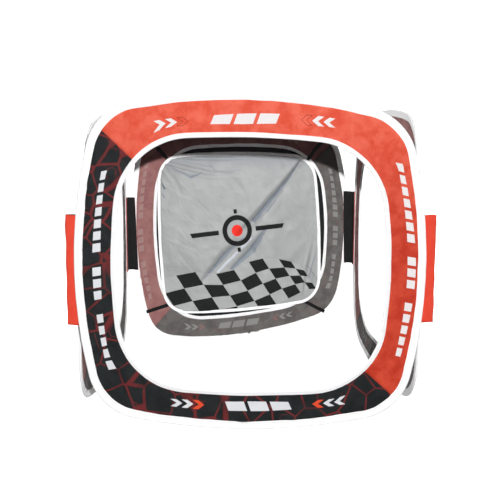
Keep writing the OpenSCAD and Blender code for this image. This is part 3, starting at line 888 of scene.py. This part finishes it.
def make_tape(corner, ring_a, edge_a, ring_b, edge_b, raise_by, seed, open_pivot=False):
    """A corner's hinge tape in two layers, from ring a (front or back) round a fin and the hinge axis to ring b."""
    z = np.linspace(TAPE_Z, TAPE_Z + TAPE_LEN, TAPE_ROWS) + raise_by
    centre = TAPE_ROWS // 2
    flat = [(step, TAPE_LEVEL) for step in FLAP_STEPS]
    part_a = tape_rows(ring_a, edge_a, z, flat + FINS[ring_a])
    part_b = tape_rows(ring_b, edge_b, z, flat[::-1])
    sx, sy = math.copysign(1, part_a[0, 0, 0]), math.copysign(1, part_a[0, 0, 1])
    past = 0.0 if open_pivot else AXIS_PAST
    axis = np.stack([np.full(len(z), sx * (AXIS_X - past)), np.full(len(z), sy * (AXIS_Y + past)), z], 1)
    if ring_a == "back" and not open_pivot:
        axis[:, 0] -= sx * BACK_AXIS_IN
    path = curve_through(np.concatenate([part_a, axis[None], part_b]), TAPE_STATIONS)
    s = along(path[:, centre], closed=False)
    ss, zz = np.meshgrid(s, z, indexing="ij")
    nrm = np.cross(np.gradient(path, axis=0), np.gradient(path, axis=1))
    nrm /= np.linalg.norm(nrm, axis=2)[..., None]
    # the red layer is on the side that meets ring a's face
    if nrm[0, 0, 1] * sy < 0:
        nrm = -nrm
    free = bump(ss, 0.016, 0.026) * (1 - bump(ss, s[-1] - 0.024, s[-1] - 0.014))
    path = path + (wavy(seed, 8, 0.016, 0.07)(ss, zz) * TAPE_RIPPLE * free)[..., None] * nrm
    # the ends are cut a little out of square
    end = bump(np.abs(zz - raise_by - TAPE_Z - TAPE_LEN / 2), 0.100, 0.121)
    path[..., 2] += END_WAVER * np.sin(ss * 75 + seed) * end
    cut = int(np.argmin(np.linalg.norm(path[:, centre] - axis[centre], axis=1)))
    for colour, near in (("red", 1), ("black", -1)):
        inner, outer = (path + nrm * near * (LAYER_GAP + h) for h in (0.0, TAPE_T))
        uv = np.stack([ss, zz], 2)
        nodes = [f"{r}_ring_{other(r, corner)}_{colour}_tape" for r in (ring_a, ring_b)]
        parts = [(None, slice(0, len(s)), nodes)]
        if open_pivot:
            parts = [(ring_a, slice(0, cut + 1), nodes[:1]), (ring_b, slice(cut, len(s)), nodes[1:])]
        for ring, part, gone in parts:
            name = f"{corner}_{colour}_hinge_tape" + (f"_on_{ring}" if ring else "")
            ob = sheet_mesh(name, outer[part], inner[part], [LOOKS[f"{colour}_tape"]], {"cap": uv[part]})
            if ring:
                settle(ob, ring, f"{colour}_tape", *gone)
            else:
                face_outwards(ob)
                near_a = (sx * AXIS_X, sy * (abs(part_a[0, 0, 1]) - BLEND_IN), TAPE_Z)
                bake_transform(ob)
                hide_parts(*gone)


make_tape("front_left", "front", -1, "left", 1, 0.0, 61)
make_tape("front_right", "front", 1, "right", -1, 0.0, 62)
make_tape("left_back", "back", 1, "left", -1, 0.004, 63)
make_tape("right_back", "back", -1, "right", 1, 0.026, 64, open_pivot=True)


# ---------------- target panel and back sheet

def target_placed(q):
    """World points of the target's own (across, up from its middle, inwards). Across is as seen from outside."""
    u, v, n = q.T
    du, dv = bilinear(TARGET_PULL, TARGET_PULL_AT, u, v)
    return outward("back", np.stack([u + du, v + dv + TARGET_Z - MID_Z, n + TARGET_N], 1))


# Flag print, seen from the front: each column line's top point (across, up), and how far it runs from row to row
FLAG_X = (-0.292, -0.225, -0.158, -0.087, -0.024, 0.028, 0.076, 0.132, 0.175, 0.205)
FLAG_Y = (-0.140, -0.129, -0.121, -0.132, -0.123, -0.099, -0.090, -0.095, -0.107, -0.117)
FLAG_ROW_X = (0.027, 0.0265, 0.0265, 0.0225, 0.022, 0.0228, 0.0212, 0.018, 0.015, 0.0135)
FLAG_ROW_Y = (-0.043, -0.043, -0.0432, -0.0375, -0.036, -0.038, -0.0355, -0.030, -0.0247, -0.0225)
NEWTON_STEPS, NEWTON_SHARE, NEWTON_H = 40, 0.8, 1e-3


def flag_coordinates(x, y):
    """Column and row of the flag at points on the panel, by Newton steps."""
    fine = np.arange(len(FLAG_X))
    last = FLAG_COLUMNS
    col, row = np.full(x.shape, last / 2), np.full(x.shape, FLAG_ROWS / 2)

    def at(c, r):
        c = np.clip(c, -0.999, last + 0.999)
        for base, step in ((FLAG_X, FLAG_ROW_X), (FLAG_Y, FLAG_ROW_Y)):
            past = np.minimum(c, 0) * (base[1] - base[0]) + np.maximum(c - last, 0) * (base[-1] - base[-2])
            yield np.interp(c, fine, base) + past + np.interp(c, fine, step) * r
    h = NEWTON_H
    for _ in range(NEWTON_STEPS):
        fx, fy = at(col, row)
        ax, ay = at(col + h, row)
        bx, by = at(col, row + h)
        j11, j21, j12, j22 = (ax - fx) / h, (ay - fy) / h, (bx - fx) / h, (by - fy) / h
        det = j11 * j22 - j12 * j21
        det = np.where(np.abs(det) < 1e-9, 1e-9, det)
        ex, ey = x - fx, y - fy
        col = np.clip(col + NEWTON_SHARE * (ex * j22 - ey * j12) / det, -6, 15)
        row = np.clip(row + NEWTON_SHARE * (ey * j11 - ex * j21) / det, -12, 12)
    return col, row


def fold_line(x, y, points, widths, depths):
    """A crease along a line of points: a valley whose width and depth change along it."""
    best = np.full(x.shape, 1e9)
    value = np.zeros(x.shape)
    for (a, b), (wa, wb), (da, db) in zip(*(zip(row, row[1:]) for row in (points, widths, depths))):
        a, b = np.array(a), np.array(b)
        d = b - a
        t = np.clip(((x - a[0]) * d[0] + (y - a[1]) * d[1]) / (d @ d), 0, 1)
        dist = np.hypot(x - a[0] - t * d[0], y - a[1] - t * d[1])
        side = np.sign((x - a[0]) * d[1] - (y - a[1]) * d[0])
        w = wa + (wb - wa) * t
        depth = da + (db - da) * t
        g = dist / w
        shape = -np.exp(-g ** 2) + 0.55 * np.exp(-((dist * side - 1.5 * w) / w) ** 2)
        new = dist < best
        value = np.where(new, depth * shape, value)
        best = np.where(new, dist, best)
    return value


# The silver cloth's folds, over the panel seen from the front: points on the line, width and depth at each
FOLDS = [
    ([(0.252, 0.268), (0.168, 0.163), (0.050, 0.036), (-0.020, -0.030)],
     [0.004, 0.009, 0.014, 0.012], [0.0035, 0.0050, 0.0060, 0.0020]),
    ([(0.036, -0.004), (-0.050, -0.068), (-0.124, -0.142), (-0.150, -0.170)],
     [0.006, 0.014, 0.009, 0.006], [0.0010, 0.0050, 0.0042, 0.0005]),
    ([(0.100, 0.020), (0.040, -0.060), (-0.034, -0.120)], [0.006, 0.014, 0.006], [0.001, 0.0048, 0.0008]),
    ([(-0.262, 0.232), (-0.190, 0.214), (-0.110, 0.196), (0.010, 0.186)],
     [0.004, 0.007, 0.008, 0.004], [0.0030, 0.0034, 0.0026, 0.0003]),
    ([(-0.262, 0.225), (-0.215, 0.170), (-0.190, 0.110)], [0.004, 0.007, 0.004], [0.0028, 0.0022, 0.0003]),
    ([(-0.230, 0.244), (-0.080, 0.238), (0.100, 0.243)], [0.004, 0.006, 0.003], [0.0018, 0.0022, 0.0003]),
    ([(0.262, -0.020), (0.236, -0.120), (0.215, -0.215)], [0.003, 0.006, 0.004], [0.0004, 0.0026, 0.0022]),
]
# and the short pulls below one another along its left edge
FOLDS += [([(-0.279, 0.190 - 0.021 * k), (-0.250 + 0.004 * (k % 3), 0.190 - 0.021 * k - 0.012)],
           [0.0035, 0.002], [0.0022 / (1 + 0.2 * k), 0.0002]) for k in range(7)]


def crumple(x, y, size, seed):
    """Flat facets that meet in ridges, as pressed foil has."""
    vals = np.array([noise.ridged_multi_fractal(Vector((a + seed, b - seed, seed * 0.37)), 0.9, 2.1, 3, 0.9, 1.6,
                                                noise_basis="PERLIN_ORIGINAL")
                     for a, b in zip(x.ravel() / size, y.ravel() / size)])
    return vals.reshape(x.shape) - vals.mean()


def half_width_at(arcs, y, off):
    """Half width of an outline at height y, moved outwards by off."""
    a, b, side_r, cap_r, corner_r = arcs
    chain = arc_chain(*arcs)
    cx, cy, _, s, _ = chain[1]
    t = chain[2][3]
    y = np.abs(y)
    side_top = (side_r + off) * math.sin(s)
    on_side = a - side_r + np.sqrt(np.maximum((side_r + off) ** 2 - y ** 2, 0))
    on_corner = cx + np.sqrt(np.maximum((corner_r + off) ** 2 - (y - cy) ** 2, 0))
    corner_top = cy + (corner_r + off) * math.sin(t)
    on_cap = np.sqrt(np.maximum((cap_r + off) ** 2 - (y - b + cap_r) ** 2, 0))
    return np.where(y < side_top, on_side, np.where(y < corner_top, on_corner, on_cap))


def panel_grid(arcs, off, rows, cols):
    """Points that fill an outline, as rows across it, closer together at the top and bottom; and how far each is
    from the rim."""
    flat = np.linspace(-1, 1, rows)
    k = 0.45 * flat + 0.55 * np.sin(flat * math.pi / 2 * 0.92) / math.sin(math.pi / 2 * 0.92)
    v = k * (arcs[1] + off) * 0.9985
    half = half_width_at(arcs, v, off)[:, None]
    u, v = half * np.linspace(-1, 1, cols), np.repeat(v[:, None], cols, 1)
    return u, v, np.minimum(half - np.abs(u), arcs[1] + off - np.abs(v))


def add_panel(name, faces, looks, uvs, slot, node, arcs, off):
    """A cloth that fills an outline, moved outwards by off, on the back ring."""
    ob = sheet_mesh(name, *faces, looks, uvs)
    settle(ob, "back", slot, node)
    wide, tall = 2 * (arcs[0] + off), 2 * (arcs[1] + off)
    area = wide * tall - (4 - math.pi) * (arcs[4] + max(off, 0)) ** 2


TARGET_OFF = -0.005                  # the silver cloth's edge, from the target's outline
RELIEF_LOW, RELIEF_HIGH = -0.0062, 0.0075


def make_target():
    pu, pv, rim = panel_grid(TARGET_ARCS, TARGET_OFF, 112, 116)
    x = -pu                                   # as seen from the front
    relief = sum(fold_line(x, pv, *fold) for fold in FOLDS)
    relief = relief + 0.0011 * crumple(x, pv, 0.085, 3.0) + 0.0004 * crumple(x, pv, 0.034, 7.0)
    relief = relief + 0.0020 * wavy(5, 6, 0.18, 0.40)(x, pv)
    relief = np.clip(relief * bump(rim, -0.001, 0.014), RELIEF_LOW, RELIEF_HIGH)
    rear, front = two_faces(target_placed, pu, pv, relief, 0.0004)
    uvs = {"cap": np.stack([x, pv], 2), "flag": np.stack(flag_coordinates(x, pv), 2)}
    add_panel("silver_target_cloth", (front, rear), [LOOKS["silver"]], uvs, "silver_cloth", "target_silver_face",
              TARGET_ARCS, TARGET_OFF)
    outline = ("back", TARGET_CHAIN, -1)
    make_binding("target_ribbon", *outline, TARGET_BINDING_W, 0, "target_binding", 77, target_placed,
                 counts_for(TARGET_CHAIN, 0.005), bead=0.0044, flap=0.0020)
    make_hoop("target_steel", *outline, 0, "target_hoop", target_placed, thick=0.0007, high=0.0028, middle=0.0022)
    make_sleeve("target_sleeve", *outline, 0, "target_hoop_sleeve", target_placed, thick=0.0013, high=0.0033,
                middle=0.0022)


def make_back_sheet():
    pu, pv, rim = panel_grid(OPEN_ARCS, SHEET_LAP, 84, 88)
    pv = pv - OPEN_DROP
    loose = bump(rim, 0.012, 0.060)
    sag = 0.0030 * wavy(21, 7, 0.16, 0.45)(pu, pv) + 0.0007 * crumple(pu, pv, 0.11, 5.0)
    # shallow pulls that run in from the rim
    ang = np.arctan2(pv, pu)
    pulls = np.sin(ang * 34 + 2 * np.sin(ang * 5)) * np.exp(-rim / 0.030) * 0.0007
    hem = 0.0005 * (bump(rim, 0.0, 0.001) - bump(rim, 0.013, 0.0145))
    n = -(BEAD_T / 2 + 0.0012) - hem + (sag * loose + pulls)
    n = np.minimum(n, -(BEAD_T / 2 + 0.0010) + loose * 0.0020)
    add_panel("black_back_cloth", two_faces(on_ring("back"), pu, pv, n, CLOTH_T), [LOOKS["back_sheet"]],
              {"cap": np.stack([pu, pv], 2)}, "back_sheet", "black_back_sheet", OPEN_ARCS, SHEET_LAP)


def reach_to(arcs, drop, side, start, d):
    """How far it is from start along d to the outline's corner arc."""
    chain = arc_chain(*arcs)
    q = start - np.array([side * chain[1][0], math.copysign(chain[1][1], start[1] + drop) - drop])
    m = q @ d
    return -m + math.sqrt(m * m - q @ q + arcs[4] ** 2)

def make_strap(name, side, start, degrees, node, seed):
    """Webbing from under the panel's corner over the opening's binding and the cloth, in under the outer binding."""
    angle = math.radians(degrees)
    d = np.array([side * math.cos(angle), math.sin(angle)])
    across = np.array([-d[1], d[0]])
    start = np.array([side * start[0], start[1]])
    inner = reach_to(OPEN_ARCS, OPEN_DROP, side, start, d)
    hem = reach_to(RING_ARCS, 0, side, start, d) - BINDING_W
    top = BEAD_T / 2 + 0.0012
    # its way out: (along, inwards)
    path = np.array([(-0.024, 0.0030), (-0.010, 0.0032), (inner - 0.004, top), (inner + 0.004, top),
                     (inner + 0.012, 0.0030), (inner + 0.024, 0.0024), (hem - 0.016, 0.0021), (hem - 0.004, 0.0014),
                     (hem + 0.005, 0.0006)])
    run = along(path, closed=False)
    fine = np.linspace(0, run[-1], 90)
    t = np.interp(fine, run, path[:, 0])
    n = np.interp(fine, run, path[:, 1])
    smooth = np.ones(3) / 3
    t[1:-1], n[1:-1] = np.convolve(t, smooth, "valid"), np.convolve(n, smooth, "valid")
    tangent = np.gradient(np.stack([t, n], 1), axis=0)
    tangent /= np.linalg.norm(tangent, axis=1)[:, None]
    normal = np.stack([-tangent[:, 1], tangent[:, 0]], 1)
    w = np.linspace(-1, 1, 9)
    rough = wavy(seed, 6, 0.008, 0.03)
    tt, ww = np.meshgrid(fine, w, indexing="ij")
    wide = STRAP_W / 2 * (1 + 0.06 * rough(tt, tt * 0))
    lift = 0.0007 * w ** 2 + 0.0004 * rough(tt, ww * 0.01)
    layers = []
    for h in (STRAP_T, 0.0):
        tn = np.stack([t, n], 1)[:, None, :] + normal[:, None, :] * (lift + h)[..., None]
        xy = start + tn[..., 0][..., None] * d + (ww * wide)[..., None] * across
        layers.append(placed("back", xy[..., 0], xy[..., 1], tn[..., 1]).reshape(*tt.shape, 3))
    ob = sheet_mesh(name, *layers, [LOOKS["strap"]], {"cap": np.stack([tt, ww * STRAP_W / 2], 2)})
    settle(ob, "back", "black_strap", node)


make_target()
make_back_sheet()
# Seen from outside, the back ring's right is the cube's left
make_strap("upper_left_webbing", 1, (0.240, 0.232), 48, "upper_left_strap", 81)
make_strap("upper_right_webbing", -1, (0.240, 0.232), 52, "upper_right_strap", 82)
make_strap("lower_left_webbing", 1, (0.256, -0.223), -11.6, "lower_left_strap", 83)
make_strap("lower_right_webbing", -1, (0.200, -0.256), -34, "lower_right_strap", 84)


# ---------------- stage, light and camera

def studio_look(name, glow):
    """White paper that glows a little."""
    look = Look(name)
    look.set(base=look.colour((0.80, 0.80, 0.80, 1), (0.78, 0.78, 0.78, 1), look.noise(0.8)), rough=0.9, spec=0.1,
             glow_colour=WHITE, glow=glow)
    return look.material


FLOOR_HALF, DOME_R = 6.0, 7.0
DOME_ROWS, DOME_COLS = 13, 32
corners = [(-1, -1), (1, -1), (1, 1), (-1, 1)]
floor = mesh_object("studio_floor", [(x * FLOOR_HALF, y * FLOOR_HALF, -0.0005) for x, y in corners],
                    [(0, 1, 2, 3)], [studio_look("studio_floor_paper", 0.96)], smooth=False)
dome_points = [(DOME_R * math.cos(a) * math.cos(b), DOME_R * math.cos(a) * math.sin(b), DOME_R * math.sin(a) - 0.4)
               for a in np.linspace(0, math.pi / 2 - 0.01, DOME_ROWS)
               for b in np.linspace(0, 2 * math.pi, DOME_COLS, endpoint=False)]
dome = mesh_object("studio_backdrop", dome_points, grid_faces(DOME_ROWS, DOME_COLS, wrap_cols=True),
                   [studio_look("studio_backdrop_paper", 1.2)])
dome.visible_shadow = False
for piece in (floor, dome):
    piece.visible_diffuse = False

world = bpy.data.worlds.new("studio")
scene.world = world
world.use_nodes = True
for key, value in (("Color", WHITE), ("Strength", 0.035)):
    plug(world.node_tree, world.node_tree.nodes["Background"].inputs[key], value)


def lamp(name, kind, where, power, size):
    """A lamp aimed at the cube's middle."""
    data = bpy.data.lights.new(name, kind)
    data.energy = power
    if kind == "AREA":
        data.shape, data.size = "SQUARE", size
    else:
        data.shadow_soft_size = size
    ob = bpy.data.objects.new(name, data)
    ob.location = where
    ob.rotation_mode = "QUATERNION"
    ob.rotation_quaternion = (Vector((0, 0, 0.35)) - Vector(where)).to_track_quat("-Z", "Y")
    scene.collection.objects.link(ob)
    return data


key = lamp("key", "POINT", (0.0, -1.956, 0.700), 45.0, 0.012)
# no fall-off with distance, so that the front and back rings are lit alike
key.use_nodes = True
fall = add_node(key.node_tree, "ShaderNodeLightFalloff", [("Strength", 1.0)])
plug(key.node_tree, key.node_tree.nodes["Emission"].inputs["Strength"], fall.outputs["Constant"])
for name, *setting in (("behind_left", (-2.6, 2.8, 2.0), 92.0, 1.6), ("behind_right", (2.8, 2.4, 1.8), 80.0, 1.6),
                       ("overhead", (0.0, 2.0, 3.0), 10.0, 2.0)):
    lamp(name, "AREA", *setting)

FOCAL_PIXELS, FRAME_PIXELS, SENSOR = 711.33, 500, 36.0
CAMERA_AT = (-0.0772, -1.9563, 0.5837)
PITCH, YAW, ROLL = math.radians(6.528), math.radians(2.621), math.radians(0.202)
forward = Vector((math.sin(YAW) * math.cos(PITCH), math.cos(YAW) * math.cos(PITCH), -math.sin(PITCH)))
level = Vector((math.cos(YAW), -math.sin(YAW), 0))
top = level.cross(forward)
right = level * math.cos(ROLL) + top * math.sin(ROLL)
up = -level * math.sin(ROLL) + top * math.cos(ROLL)
camera_data = bpy.data.cameras.new("photo_camera")
camera_data.sensor_width = SENSOR
camera_data.lens = FOCAL_PIXELS / FRAME_PIXELS * SENSOR
camera_data.clip_start, camera_data.clip_end = 0.05, 50
camera = bpy.data.objects.new("photo_camera", camera_data)
camera.matrix_world = Matrix((
    (right.x, up.x, -forward.x, CAMERA_AT[0]),
    (right.y, up.y, -forward.y, CAMERA_AT[1]),
    (right.z, up.z, -forward.z, CAMERA_AT[2]),
    (0, 0, 0, 1),
))
scene.collection.objects.link(camera)
scene.camera = camera
scene.view_settings.view_transform = "Standard"
